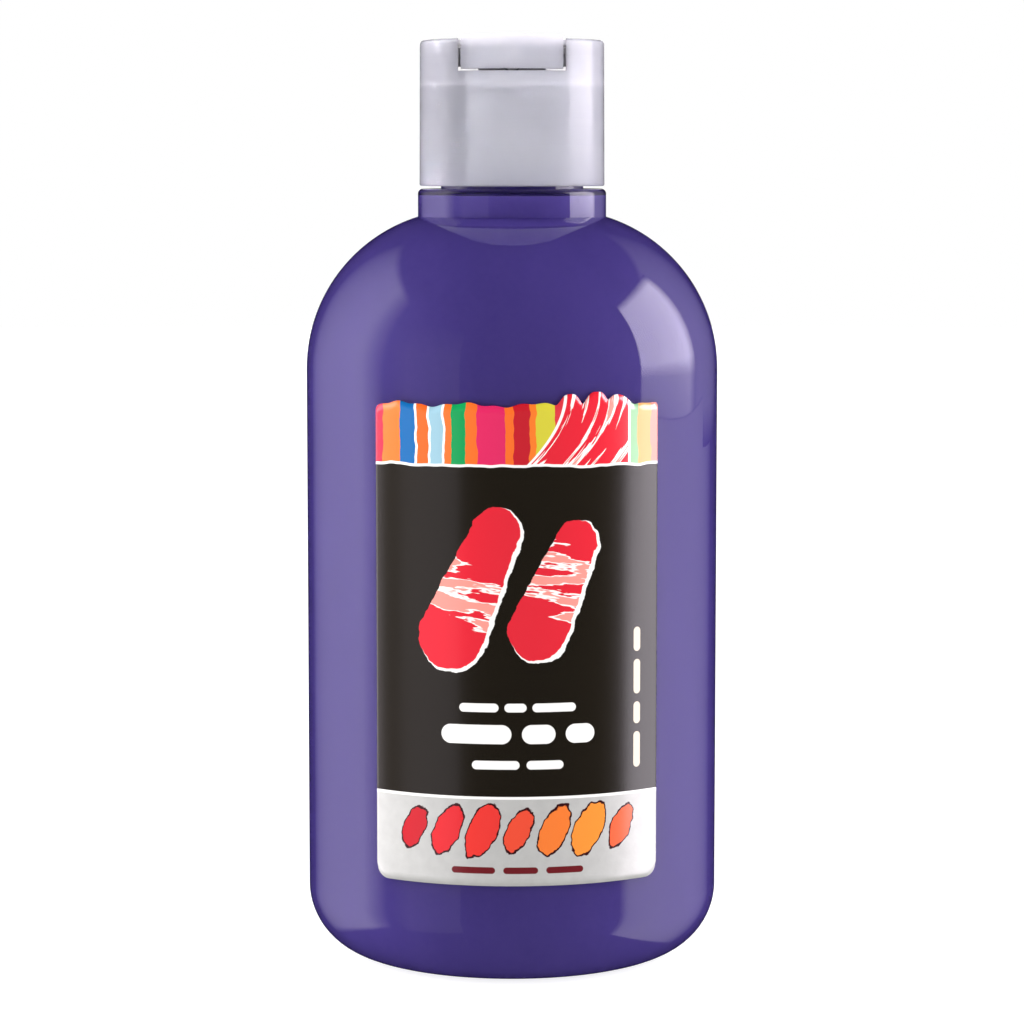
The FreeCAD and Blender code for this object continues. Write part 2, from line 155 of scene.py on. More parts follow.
class Tree:
    """A material's node tree, written as expressions."""

    def __init__(self, name: str) -> None:
        """Makes a material with an empty tree.

        Args:
            name: Name of the material.
        """
        self.material = bpy.data.materials.new(name)
        self.material.use_nodes = True
        self.nodes = self.material.node_tree.nodes
        self.links = self.material.node_tree.links
        self.nodes.clear()

    def node(self, kind: str, settings: dict | None = None, sockets: dict | None = None) -> bpy.types.Node:
        """Adds one node.

        Args:
            kind: Blender's type of the node.
            settings: Attributes that are set first; "stops" fills a stepped colour ramp.
            sockets: Values or Socks by input name or number.

        Returns:
            The node.
        """
        node = self.nodes.new(kind)
        for key, value in (settings or {}).items():
            if key == "stops":
                self.fill_ramp(node.color_ramp, value)
            else:
                setattr(node, key, value)
        for key, value in (sockets or {}).items():
            if isinstance(value, Sock):
                self.links.new(value.socket, node.inputs[key])
            else:
                node.inputs[key].default_value = value
        return node

    @staticmethod
    def fill_ramp(ramp: bpy.types.ColorRamp, stops: list[tuple[float, Colour]]) -> None:
        """Gives a colour ramp its stops, in order of place, with steps between them."""
        ramp.interpolation = "CONSTANT"
        while len(ramp.elements) > 1:
            ramp.elements.remove(ramp.elements[-1])
        for index, (place, colour) in enumerate(stops):
            element = ramp.elements[0] if index == 0 else ramp.elements.new(place)
            element.position = place
            element.color = (*colour, 1.0)

    def maths(self, operation: str, *values: Value, clamp: bool = False) -> Sock:
        """A Math node on sockets and numbers."""
        sockets = dict(enumerate(values))
        node = self.node("ShaderNodeMath", {"operation": operation, "use_clamp": clamp}, sockets)
        return Sock(self, node.outputs[0])

    def mix(self, share: Value, first: Colour | Sock, second: Colour | Sock) -> Sock:
        """A colour between two, by a share of the second."""
        colours = {
            6: (*first, 1.0) if isinstance(first, tuple) else first,
            7: (*second, 1.0) if isinstance(second, tuple) else second,
        }
        settings = {"data_type": "RGBA", "clamp_factor": True}
        node = self.node("ShaderNodeMix", settings, {0: share, **colours})
        return Sock(self, node.outputs[2])

    def place(self) -> Sock:
        """Object coordinates."""
        return Sock(self, self.node("ShaderNodeTexCoord").outputs["Object"])

    def axes(self, vector: Sock) -> tuple[Sock, Sock, Sock]:
        """The three parts of a vector."""
        node = self.node("ShaderNodeSeparateXYZ", sockets={0: vector})
        return tuple(Sock(self, output) for output in node.outputs)

    def vector(self, x: Value, y: Value, z: Value = 0.0) -> Sock:
        """A vector of three parts."""
        return Sock(self, self.node("ShaderNodeCombineXYZ", sockets={0: x, 1: y, 2: z}).outputs[0])

    def noise(self, vector: Sock, scale: float, detail: float = 2.0, rough: float = 0.5) -> Sock:
        """Smooth noise about 0.5 at a number of lumps a unit."""
        sockets = {"Vector": vector, "Scale": scale, "Detail": detail, "Roughness": rough}
        return Sock(self, self.node("ShaderNodeTexNoise", sockets=sockets).outputs[0])

    def flat(self) -> tuple[Sock, Sock]:
        """The two shares across and up a piece's own UV map."""
        place = Sock(self, self.node("ShaderNodeUVMap", {"uv_map": UV_NAME}).outputs[0])
        across, up, _ = self.axes(place)
        return across, up

    def bands(self, value: Sock, stops: list[tuple[float, Colour]]) -> Sock:
        """A colour that steps from stop to stop."""
        return Sock(self, self.node("ShaderNodeValToRGB", {"stops": stops}, {0: value}).outputs[0])

    def bump(self, height: Sock, distance: float) -> Sock:
        """A normal from a height map whose full range is a distance in metres."""
        sockets = {"Height": height, "Distance": distance, "Strength": 1.0}
        return Sock(self, self.node("ShaderNodeBump", sockets=sockets).outputs[0])

    def surface(self, sockets: dict) -> bpy.types.Material:
        """Ends the tree in a Principled shader.

        Args:
            sockets: Values or Socks of its inputs.

        Returns:
            The material.
        """
        shader = self.node("ShaderNodeBsdfPrincipled", sockets=sockets)
        output = self.node("ShaderNodeOutputMaterial")
        self.links.new(shader.outputs[0], output.inputs[0])
        return self.material


def srgb(red: int, green: int, blue: int) -> Colour:
    """A linear colour from the usual 0 to 255 values."""

    def linear(level: int) -> float:
        share = level / 255
        return share / 12.92 if share <= 0.04045 else ((share + 0.055) / 1.055) ** 2.4

    return linear(red), linear(green), linear(blue)


# ---------------------------------------------------------------- finishes


NO_LIGHT: Colour = (0.0, 0.0, 0.0)
FULL_LIGHT: Colour = (1.0, 1.0, 1.0)


@dataclass(frozen=True)
class ClearPlastic:
    """Clear blown polyester: glossy, bends light, with the faint waviness of a blown wall."""

    tint: Colour = (0.985, 0.98, 1.0)
    ior: float = 1.55
    roughness: float = 0.02
    wave: float = 14.0
    wave_depth: float = 0.00012

    def material(self) -> bpy.types.Material:
        """Builds the material."""
        tree = Tree("clear_plastic")
        waves = tree.noise(tree.place(), self.wave, 1.0)
        return tree.surface(
            {
                "Base Color": (*self.tint, 1.0),
                "Roughness": self.roughness,
                "IOR": self.ior,
                "Transmission Weight": 1.0,
                "Normal": tree.bump(waves, self.wave_depth),
            }
        )


@dataclass(frozen=True)
class VioletPaint:
    """Thick violet acrylic seen where it wets the wall: smooth, with faint folds of pigment."""

    colour: Colour = (0.083, 0.056, 0.285)
    pale: Colour = (0.098, 0.066, 0.320)
    fold_scale: float = 38.0
    stretch: float = 0.22
    fine_scale: float = 900.0
    fold_depth: float = 0.00008

    def material(self) -> bpy.types.Material:
        """Builds the material."""
        tree = Tree("violet_paint")
        x, y, z = tree.axes(tree.place())
        folds = tree.noise(tree.vector(x, y, z * self.stretch), self.fold_scale, 4.0, 0.6)
        fine = tree.noise(tree.place(), self.fine_scale, 2.0)
        colour = tree.mix((folds + (fine - 0.5) * 0.2).above(0.52, 0.3), self.colour, self.pale)
        return tree.surface(
            {
                "Base Color": colour,
                "Roughness": 0.45 + fine * 0.1,
                "Specular IOR Level": 0.12,
                "Normal": tree.bump(folds, self.fold_depth),
            }
        )


@dataclass(frozen=True)
class CapPlastic:
    """Natural polypropylene: milky all through, softly glossy, sunk a little over its inner ribs.

    The sinks are levels and half widths in metres of the faint rings where the ribs shrink.
    """

    colour: Colour = (0.425, 0.41, 0.465)
    cloud: Colour = (0.385, 0.37, 0.42)
    depth: float = 0.02
    roughness: float = 0.17
    relief: float = 0.00006
    sinks: tuple[Point, ...] = (
        (0.1562, 0.0006),
        (0.1498, 0.0005),
        (0.1452, 0.0005),
        (0.1608, 0.0004),
    )

    def material(self) -> bpy.types.Material:
        """Builds the material."""
        tree = Tree("cap_plastic")
        place = tree.place()
        _, _, z = tree.axes(place)
        cloud = tree.noise(place, 90.0, 3.0)
        grain = tree.noise(place, 2600.0, 2.0)
        drift = (tree.noise(place, 60.0, 1.0) - 0.5) * 0.0016
        relief = grain * 0.03 + cloud * 0.12
        for level, width in self.sinks:
            relief = relief - (z + drift - level).size().below(width, width * 2.4) * 0.5
        return tree.surface(
            {
                "Base Color": tree.mix(cloud, self.cloud, self.colour),
                "Roughness": self.roughness + (grain - 0.5) * 0.06 + (cloud - 0.5) * 0.1,
                "IOR": 1.49,
                "Subsurface Weight": 1.0,
                "Subsurface Radius": (1.0, 0.97, 0.9),
                "Subsurface Scale": self.depth,
                "Normal": tree.bump(relief, self.relief),
            }
        )


@dataclass(frozen=True)
class LinerFoam:
    """Fine white closed-cell foam with painted cell shade: a darker colour that rises with the distance from
    each cell's middle.
    """

    colour: Colour = (0.80, 0.80, 0.79)
    # painted shade of the foam's cells
    cell_shade: Colour = (0.66, 0.66, 0.65)
    cells: float = 2200.0
    relief: float = 0.00005

    def material(self) -> bpy.types.Material:
        """Builds the material."""
        tree = Tree("liner_foam")
        sockets = {"Vector": tree.place(), "Scale": self.cells}
        cells = Sock(tree, tree.node("ShaderNodeTexVoronoi", sockets=sockets).outputs["Distance"])
        return tree.surface(
            {
                # painted cell shade: darker away from each cell's middle
                "Base Color": tree.mix(cells, self.colour, self.cell_shade),
                "Roughness": 0.85,
                "Normal": tree.bump(cells, self.relief),
            }
        )


@dataclass(frozen=True)
class StudioFloor:
    """Pale floor that turns to plain white light where the bottle no longer shades it."""

    colour: Colour = (0.86, 0.86, 0.87)
    shaded: float = 0.042
    light: float = 1.3

    def material(self) -> bpy.types.Material:
        """Builds the material."""
        tree = Tree("studio_floor")
        x, y, _ = tree.axes(tree.place())
        away = tree.maths("SQRT", x * x + y * y)
        fade = (away / self.shaded).least(1.0)
        return tree.surface(
            {
                "Base Color": tree.mix(fade, self.colour, NO_LIGHT),
                "Roughness": 0.7,
                "Specular IOR Level": 0.1,
                "Emission Color": tree.mix(fade, NO_LIGHT, FULL_LIGHT),
                "Emission Strength": self.light,
            }
        )


@dataclass(frozen=True)
class StudioWall:
    """Plain white light that stands for the room behind the bottle."""

    def material(self) -> bpy.types.Material:
        """Builds the material."""
        tree = Tree("studio_wall")
        return tree.surface(
            {
                "Base Color": (*NO_LIGHT, 1.0),
                "Specular IOR Level": 0.0,
                "Emission Color": (*FULL_LIGHT, 1.0),
                "Emission Strength": 1.0,
            }
        )


@dataclass(frozen=True)
class PanelGlow:
    """Light of a reflector panel, which fades towards its edges.

    Each edge is the share of the panel over which the light rises: left, right, bottom and top.
    """

    name: str
    strength: float
    edges: tuple[float, float, float, float]
    tint: Colour = (1.0, 0.93, 1.03)

    def material(self) -> bpy.types.Material:
        """Builds the material."""
        tree = Tree(self.name)
        across, up = tree.flat()
        glow: Value = 1.0
        for share, rise in zip((across, 1 - across, up, 1 - up), self.edges):
            glow = glow * (share / rise).least(1.0)
        return tree.surface(
            {
                "Base Color": (*NO_LIGHT, 1.0),
                "Specular IOR Level": 0.0,
                "Emission Color": tree.mix(glow, NO_LIGHT, self.tint),
                "Emission Strength": self.strength,
            }
        )


# ---------------------------------------------------------------- label printing


RED = srgb(226, 20, 44)
SALMON = srgb(250, 150, 138)
ORANGE = srgb(250, 118, 30)
WHITE = srgb(250, 248, 244)
INK = srgb(26, 21, 13)
INK_PALE = srgb(35, 29, 19)
BLUE = srgb(0, 108, 190)
GREEN = srgb(0, 168, 84)


@dataclass(frozen=True)
class Streaks:
    """Dragged brush colour: red broken by salmon patches, each with a white edge."""

    along: float = 0.055
    across: float = 0.42
    level: float = 0.56
    edge: float = 0.028

    def colour(self, tree: Tree, along: Sock, across: Sock, seed: float, bias: Value = 0.0) -> Sock:
        """The colour at a place.

        Args:
            tree: Tree to add to.
            along: Distance along the stroke in millimetres.
            across: Distance across the stroke in millimetres.
            seed: Shift of the pattern.
            bias: How much less salmon there is.

        Returns:
            The colour.
        """
        place = tree.vector(along * self.along, across * self.across, seed)
        flow = tree.noise(place, 1.0, 4.0, 0.55) - bias
        patch = tree.mix(flow.above(self.level, 0.01), RED, SALMON)
        return tree.mix((flow - self.level).size().below(self.edge * 0.5, 0.01), patch, WHITE)


@dataclass(frozen=True)
class Stripe:
    """One painted stripe of the band: its width in millimetres and its colour."""

    width: float
    colour: Colour


@dataclass(frozen=True)
class Stroke:
    """A broad brush stroke in millimetres.

    Its middle, half length, radius and lean in radians, where along it the salmon streaks are, and the
    seed of their pattern.
    """

    middle: Point
    half: float
    radius: float
    lean: float
    streaked: float
    seed: float


@dataclass(frozen=True)
class Line:
    """A line of printing that is shown as dashes: its middle, the dashes' ends and their thickness."""

    middle: float
    spans: tuple[Point, ...]
    thick: float


@dataclass(frozen=True)
class FrontPrint:
    """The printing of the front label, in millimetres from its middle and its bottom edge."""

    width: float
    height: float
    silver_top: float = 15.5
    rule: float = 0.45
    band_bottom: float = 72.1
    band_height: float = 12.0
    sheaf_left: float = 1.0
    sheaf_right: float = 20.4
    sheaf_lean: float = 6.8
    strokes: tuple[Stroke, ...] = (
        Stroke((-7.6, 52.6), 9.8, 4.9, 0.42, -2.6, 2.0),
        Stroke((6.8, 52.0), 8.2, 4.4, 0.42, 1.6, 7.0),
    )
    lines: tuple[Line, ...] = (
        Line(30.9, ((-10.2, -3.4), (-2.4, 1.4), (2.4, 10.0)), 1.5),
        Line(26.3, ((-13.4, -1.2), (0.6, 6.4), (8.2, 13.4)), 3.3),
        Line(21.0, ((-8.0, 0.2), (1.4, 7.8)), 1.5),
    )
    side_line: Line = Line(21.9, ((19.6, 25.8), (27.2, 31.0), (32.4, 38.4), (39.8, 44.0)), 1.4)
    foil_line: Line = Line(2.7, ((-11.6, -4.0), (-2.6, 3.4), (4.8, 11.4)), 1.15)
    side_colour: Colour = srgb(222, 208, 186)
    foil_dark: Colour = srgb(196, 195, 192)
    foil_pale: Colour = srgb(214, 213, 210)
    foil_text: Colour = srgb(110, 16, 26)
    dab_rim: Colour = srgb(60, 10, 16)
    dab_level: float = 9.6
    dab_lean: float = 0.34
    dab_colours: tuple[Colour, ...] = (
        srgb(196, 12, 30),
        srgb(222, 24, 34),
        srgb(232, 44, 36),
        srgb(236, 70, 38),
        srgb(242, 120, 34),
        srgb(246, 142, 40),
        srgb(240, 96, 52),
    )
    stripes: tuple[Stripe, ...] = (
        Stripe(1.6, srgb(206, 18, 62)),
        Stripe(3.4, srgb(246, 116, 34)),
        Stripe(3.0, srgb(0, 100, 168)),
        Stripe(0.25, WHITE),
        Stripe(2.2, srgb(244, 100, 24)),
        Stripe(0.3, WHITE),
        Stripe(2.3, srgb(150, 190, 206)),
        Stripe(0.35, WHITE),
        Stripe(1.4, srgb(238, 112, 34)),
        Stripe(2.4, srgb(0, 156, 82)),
        Stripe(2.0, srgb(244, 110, 30)),
        Stripe(4.9, srgb(224, 30, 94)),
        Stripe(1.3, srgb(246, 108, 24)),
        Stripe(2.75, srgb(196, 10, 32)),
        Stripe(1.0, srgb(246, 122, 26)),
        Stripe(3.4, srgb(212, 202, 50)),
        Stripe(13.9, srgb(222, 50, 62)),
        Stripe(1.7, srgb(150, 196, 150)),
        Stripe(2.76, srgb(238, 168, 98)),
        Stripe(1.85, srgb(228, 142, 128)),
    )

    def band(self, tree: Tree, x: Sock, y: Sock) -> Sock:
        """The band of painted stripes with a sheaf of red brush marks over its right half."""
        wobble = tree.noise(tree.vector(x * 0.1, y * 0.22, 3.0), 1.0, 2.0) - 0.5
        share = (x + wobble * 1.5) / self.width + 0.5
        total = sum(stripe.width for stripe in self.stripes)
        stops, place = [], 0.0
        for stripe in self.stripes:
            stops.append((place / total, stripe.colour))
            place += stripe.width
        colour = tree.bands(share, stops)
        up = (y - self.band_bottom) / self.band_height
        lean = self.sheaf_lean * (1 - (1 - up.most(0.0)).most(0.0) ** 1.8)
        left = x - self.sheaf_left - lean
        inside = left.above(0.0) * x.below(self.sheaf_right)
        strands = Streaks(along=0.05, across=0.5, level=0.575, edge=0.05)
        sheaf = strands.colour(tree, y, left, 11.0)
        edge = tree.mix(left.between(0.0, 0.55), sheaf, WHITE)
        edge = tree.mix(x.between(self.sheaf_right - 0.5, self.sheaf_right), edge, WHITE)
        return tree.mix(inside, colour, edge)

    def painted(self, tree: Tree, x: Sock, y: Sock, under: Sock) -> Sock:
        """The broad parallel strokes of red paint with dragged salmon streaks."""
        ragged = (tree.noise(tree.vector(x, y, 5.0), 0.42, 3.0) - 0.5) * 1.3
        brush = Streaks(along=0.06, across=0.3, level=0.5)
        colour = under
        for stroke in self.strokes:
            across, up = x - stroke.middle[0], y - stroke.middle[1]
            cosine, sine = math.cos(stroke.lean), math.sin(stroke.lean)
            side = across * cosine - up * sine
            along = across * sine + up * cosine
            width = stroke.radius * (1 - along * 0.018)
            distance = self.capsule(side, along, stroke.half) - width + ragged
            rim = self.capsule(side - 0.5, along + 0.1, stroke.half) - width + ragged
            bias = ((along - stroke.streaked).size() - 3.6).most(0.0) * 0.04
            streaks = brush.colour(tree, side, along - side * 0.3, stroke.seed, bias)
            colour = tree.mix(rim.below(0.22), colour, WHITE)
            colour = tree.mix(distance.below(0.0), colour, streaks)
        return colour

    def capsule(self, side: Sock, along: Sock, half: float) -> Sock:
        """Distance to a line of a half length along its stroke."""
        over = (along.size() - half).most(0.0)
        return (side * side + over * over) ** 0.5

    def dashes(self, x: Sock, y: Sock, line: Line) -> Sock:
        """The mask of a line's round-ended dashes, which run along x."""
        mask: Value = 0.0
        rise = y - line.middle
        for start, end in line.spans:
            half = (end - start) / 2
            over = ((x - (start + end) / 2).size() - (half - line.thick / 2)).most(0.0)
            far = (over * over + rise * rise) ** 0.5
            mask = far.below(line.thick / 2).most(mask)
        return mask

    def colour(self, tree: Tree, x: Sock, y: Sock) -> tuple[Sock, Sock]:
        """The whole print.

        Args:
            tree: Tree to add to.
            x: Distance to the right of the middle.
            y: Height over the bottom edge.

        Returns:
            The colour, and the mask of the silver foil.
        """
        fibre = tree.noise(tree.vector(x, y, 0.0), 3.2, 3.0)
        black = tree.mix(fibre, INK, INK_PALE)
        colour = self.painted(tree, x, y, black)
        for line in self.lines:
            colour = tree.mix(self.dashes(x, y, line), colour, WHITE)
        colour = tree.mix(self.dashes(y, x, self.side_line), colour, self.side_colour)
        ripple = (tree.noise(tree.vector(x, 0.0, 9.0), 0.12, 2.0) - 0.5) * 2.0
        foot = y - ripple
        colour = tree.mix(foot.above(self.band_bottom), colour, WHITE)
        colour = tree.mix(foot.above(self.band_bottom + self.rule), colour, self.band(tree, x, y))
        silver = y.below(self.silver_top)
        colour = tree.mix(silver, colour, self.foil(tree, x, y))
        line = y.between(self.silver_top - self.rule, self.silver_top)
        colour = tree.mix(line, colour, WHITE)
        return colour, silver * (1 - line) * (1 - self.foil_ink(tree, x, y))

    def dabs(self, tree: Tree, x: Sock, y: Sock) -> list[tuple[Sock, Colour]]:
        """The signed distance to each ragged dab of paint on the foil, and its colour."""
        up = y - self.dab_level
        found = []
        for number, colour in enumerate(self.dab_colours):
            middle, radius = -18.6 + 6.2 * number, 2.5 + 0.35 * (number % 3)
            ragged = (tree.noise(tree.vector(x, y, middle), 0.55, 3.0) - 0.5) * 1.5
            across = x - middle - up * self.dab_lean
            distance = (across * across * 1.5 + up * up * 0.5) ** 0.5 - radius + ragged
            found.append((distance, colour))
        return found

    def foil_ink(self, tree: Tree, x: Sock, y: Sock) -> Sock:
        """The mask of all ink on the foil."""
        mask = self.dashes(x, y, self.foil_line)
        for distance, _ in self.dabs(tree, x, y):
            mask = mask.most(distance.below(0.3))
        return mask

    def foil(self, tree: Tree, x: Sock, y: Sock) -> Sock:
        """The silver foil with its row of dabs from red to orange."""
        cloud = tree.noise(tree.vector(x, y, 2.0), 0.6, 3.0)
        colour = tree.mix(cloud, self.foil_dark, self.foil_pale)
        colour = tree.mix(self.dashes(x, y, self.foil_line), colour, self.foil_text)
        for distance, ink in self.dabs(tree, x, y):
            colour = tree.mix(distance.below(0.3), colour, self.dab_rim)
            colour = tree.mix(distance.below(0.0), colour, ink)
        return colour


@dataclass(frozen=True)
class BackPrint:
    """The plain printing of the back label: a white panel of greeked lines on black."""

    width: float
    height: float
    lines: int = 15
    pitch: float = 3.1
    text: Colour = srgb(206, 204, 198)
    strip: Colour = srgb(220, 219, 216)

    def colour(self, tree: Tree, x: Sock, y: Sock) -> tuple[Sock, Sock]:
        """The colour, and the mask of the pale strip at the bottom, which is silver foil."""
        colour = tree.mix(tree.noise(tree.vector(x, y, 4.0), 3.2, 3.0), INK, INK_PALE)
        top = self.height - 10.0
        for number, ink in enumerate((RED, ORANGE, BLUE, GREEN)):
            middle = -13.5 + 9.0 * number
            far = ((x - middle) * (x - middle) + (y - top) * (y - top)) ** 0.5
            colour = tree.mix(far.below(2.7), colour, ink)
        last = self.height - 20.0 - self.pitch * self.lines
        step = (y - last) / self.pitch
        row = tree.maths("FLOOR", step)
        phase = (step - row - 0.5).size()
        words = tree.noise(tree.vector(x * 0.55, row * 3.7, 1.0), 1.0, 1.0)
        reach = tree.noise(tree.vector(row * 5.3, 0.0, 6.0), 1.0, 0.0) * 14.0 + 12.0
        ink = phase.below(0.22, 0.06) * words.above(0.40, 0.02) * (x + 20.5).above(0.0) * x.below(reach)
        ink = ink * step.between(0.0, float(self.lines), 0.02)
        colour = tree.mix(ink, colour, self.text)
        strip = y.below(9.0)
        return tree.mix(strip, colour, self.strip), strip


@dataclass(frozen=True)
class LabelPaper:
    """Coated paper: print under a soft gloss, silver foil where the print leaves it bare."""

    name: str
    artwork: FrontPrint | BackPrint

    def material(self) -> bpy.types.Material:
        """Builds the material."""
        tree = Tree(self.name)
        across, up = tree.flat()
        x = (across - 0.5) * self.artwork.width
        y = up * self.artwork.height
        colour, foil = self.artwork.colour(tree, x, y)
        fibre = tree.noise(tree.vector(x, y, 0.0), 2.4, 4.0, 0.6)
        return tree.surface(
            {
                "Base Color": colour,
                "Roughness": 0.24 + (fibre - 0.5) * 0.08 + foil * 0.14,
                "Metallic": foil * 0.25,
                "Specular IOR Level": 1.0,
                "Coat Weight": 1.0,
                "Coat Roughness": 0.14,
                "Normal": tree.bump(fibre, 0.00002),
            }
        )


# ---------------------------------------------------------------- mesh tools


def arc(centre: Point, radius: float, start: float, end: float, steps: int) -> list[Point]:
    """Points on an arc of an outline.

    Args:
        centre: Middle of the arc, from the axis and up.
        radius: Its radius.
        start: Angle of the first point in degrees, 0 pointing away from the axis.
        end: Angle of the last point.
        steps: Number of chords.

    Returns:
        The points, both ends with them.
    """
    angles = (math.radians(start + (end - start) * step / steps) for step in range(steps + 1))
    return [(centre[0] + radius * math.cos(a), centre[1] + radius * math.sin(a)) for a in angles]


def softened(outline: list[tuple[float, ...]], steps: int = 5) -> list[Point]:
    """Rounds the corners of a closed outline.

    Args:
        outline: Corners as (from the axis, up) or (from the axis, up, radius of the rounding).
        steps: Chords of each rounding.

    Returns:
        The points of the rounded outline.
    """
    points: list[Point] = []
    count = len(outline)
    for index, corner in enumerate(outline):
        here = Vector(corner[:2])
        if len(corner) < 3:
            points.append(tuple(here))
            continue
        before = (Vector(outline[index - 1][:2]) - here).normalized()
        after = (Vector(outline[(index + 1) % count][:2]) - here).normalized()
        half = before.angle(after) / 2
        reach = corner[2] / math.tan(half)
        middle = here + (before + after).normalized() * (corner[2] / math.sin(half))
        first, last = here + before * reach - middle, here + after * reach - middle
        sweep = first.angle_signed(last)
        for step in range(steps + 1):
            turned = Matrix.Rotation(-sweep * step / steps, 2) @ first
            points.append(tuple(middle + turned))
    return points


def sweep(mesh: bmesh.types.BMesh, geom: list, angle: float, steps: int, rise: float = 0.0) -> None:
    """Sweeps a line or a face round the axis.

    Args:
        mesh: Mesh to add to.
        geom: What is swept.
        angle: How far, in radians; a full turn is closed.
        steps: Number of steps.
        rise: Climb of each step in metres.
    """
    bmesh.ops.spin(
        mesh,
        geom=geom,
        cent=(0, 0, 0),
        axis=(0, 0, 1),
        dvec=(0, 0, rise),
        angle=angle,
        steps=steps,
        use_merge=angle == math.tau,
    )


def turn(mesh: bmesh.types.BMesh, outline: list[Point], steps: int) -> None:
    """Turns a closed outline all the way round the axis into a mesh."""
    verts = [mesh.verts.new((radius * MM, 0.0, height * MM)) for radius, height in outline]
    edges = [mesh.edges.new((vert, verts[(n + 1) % len(verts)])) for n, vert in enumerate(verts)]
    on_axis = [edge for edge in edges if all(abs(vert.co.x) < ON_AXIS for vert in edge.verts)]
    kept = [edge for edge in edges if edge not in on_axis]
    for edge in on_axis:
        mesh.edges.remove(edge)
    sweep(mesh, verts + kept, math.tau, steps)
    bmesh.ops.remove_doubles(mesh, verts=mesh.verts, dist=MERGE)


def wind(mesh: bmesh.types.BMesh, section: list[Point], pitch: float, turns: float, steps: int) -> None:
    """Winds a thread ridge's section up the axis and closes its two ends."""
    verts = [mesh.verts.new((radius * MM, 0.0, height * MM)) for radius, height in section]
    face = mesh.faces.new(verts)
    sweep(mesh, [face], math.tau * turns, round(steps * turns), pitch * MM / steps)


def add_piece(mesh: bmesh.types.BMesh, name: str) -> bpy.types.Object:
    """Ends a bmesh as an object in the scene and frees it."""
    data = bpy.data.meshes.new(name)
    mesh.to_mesh(data)
    mesh.free()
    piece = bpy.data.objects.new(name, data)
    bpy.context.scene.collection.objects.link(piece)
    return piece


def finish_mesh(mesh: bmesh.types.BMesh, name: str, sharp: float = 32.0) -> bpy.types.Object:
    """Ends a bmesh as a piece with outward faces, smooth but for its sharp edges.

    Args:
        mesh: The mesh, which is freed.
        name: Name of the piece.
        sharp: Angle in degrees past which an edge stays sharp.

    Returns:
        The object.
    """
    bmesh.ops.recalc_face_normals(mesh, faces=mesh.faces)
    for face in mesh.faces:
        face.smooth = True
    for edge in mesh.edges:
        edge.smooth = len(edge.link_faces) != 2 or edge.calc_face_angle(0.0) < math.radians(sharp)
    return add_piece(mesh, name)


def lathe(name: str, outline: list[Point], steps: int = 160) -> bpy.types.Object:
    """A turned piece."""
    mesh = bmesh.new()
    turn(mesh, outline, steps)
    return finish_mesh(mesh, name)


def plug(name: str, radius: float, middle: float, half: float) -> bpy.types.Object:
    """A round plug on the axis, from half a length below its middle to half above."""
    low, high = middle - half, middle + half
    return lathe(name, [(0, low), (radius, low), (radius, high), (0, high)], 192)


def ball(name: str, radius: float, middle: Place) -> bpy.types.Object:
    """A ball round a point in millimetres."""
    mesh = bmesh.new()
    place = Matrix.Translation(Vector(middle) * MM)
    bmesh.ops.create_uvsphere(mesh, u_segments=128, v_segments=96, radius=radius * MM, matrix=place)
    return finish_mesh(mesh, name)


def block(name: str, low: Place, high: Place) -> bpy.types.Object:
    """A box between two corners in millimetres."""
    mesh = bmesh.new()
    size = [(b - a) * MM for a, b in zip(low, high)]
    middle = [(a + b) / 2 * MM for a, b in zip(low, high)]
    matrix = Matrix.Translation(middle) @ Matrix.Diagonal((*size, 1.0))
    bmesh.ops.create_cube(mesh, size=1.0, matrix=matrix)
    return finish_mesh(mesh, name)


def rod(name: str, radius: float, start: Place, end: Place, sides: int = 64) -> bpy.types.Object:
    """A round bar between two points in millimetres."""
    mesh = bmesh.new()
    first, last = Vector(start) * MM, Vector(end) * MM
    turned = (last - first).to_track_quat("Z", "Y").to_matrix().to_4x4()
    bmesh.ops.create_cone(
        mesh,
        cap_ends=True,
        segments=sides,
        radius1=radius * MM,
        radius2=radius * MM,
        depth=(last - first).length,
        matrix=Matrix.Translation((first + last) / 2) @ turned,
    )
    return finish_mesh(mesh, name)


class Join(Enum):
    """How a tool changes a piece."""

    ADD = "UNION"
    CUT = "DIFFERENCE"
    KEEP = "INTERSECT"


def join(piece: bpy.types.Object, how: Join, *tools: bpy.types.Object) -> bpy.types.Object:
    """Adds tools to a piece, cuts them from it or keeps what they share, and removes the tools."""
    for tool in tools:
        change = piece.modifiers.new("join", "BOOLEAN")
        change.operation = how.value
        change.solver = "EXACT"
        change.object = tool
        apply_modifiers(piece)
        bpy.data.objects.remove(tool, do_unlink=True)
    return piece


def apply_modifiers(piece: bpy.types.Object) -> None:
    """Makes a piece's modifiers part of its mesh."""
    bpy.context.view_layer.update()
    seen = piece.evaluated_get(bpy.context.evaluated_depsgraph_get())
    old = piece.data
    piece.data = bpy.data.meshes.new_from_object(seen)
    piece.modifiers.clear()
    bpy.data.meshes.remove(old)


def ease_edges(piece: bpy.types.Object, width: float, sharp: float = 32.0) -> None:
    """Rounds the sharp edges of a moulded piece.

    Args:
        piece: The piece.
        width: Width of the rounding in millimetres.
        sharp: Angle in degrees past which an edge is rounded.
    """
    mesh = bmesh.new()
    mesh.from_mesh(piece.data)
    bmesh.ops.remove_doubles(mesh, verts=mesh.verts, dist=SLIVER)
    bmesh.ops.dissolve_degenerate(mesh, dist=SLIVER, edges=mesh.edges)
    for face in mesh.faces:
        face.smooth = True
    mesh.to_mesh(piece.data)
    mesh.free()
    rounding = piece.modifiers.new("rounding", "BEVEL")
    rounding.width = width * MM
    rounding.segments = 3
    rounding.limit_method = "ANGLE"
    rounding.angle_limit = math.radians(sharp)
    rounding.harden_normals = True
    apply_modifiers(piece)


def hide_from(piece: bpy.types.Object, *rays: str) -> None:
    """Leaves a piece or a lamp out of what some kinds of ray see."""
    for ray in rays:
        setattr(piece, "visible_" + ray, False)


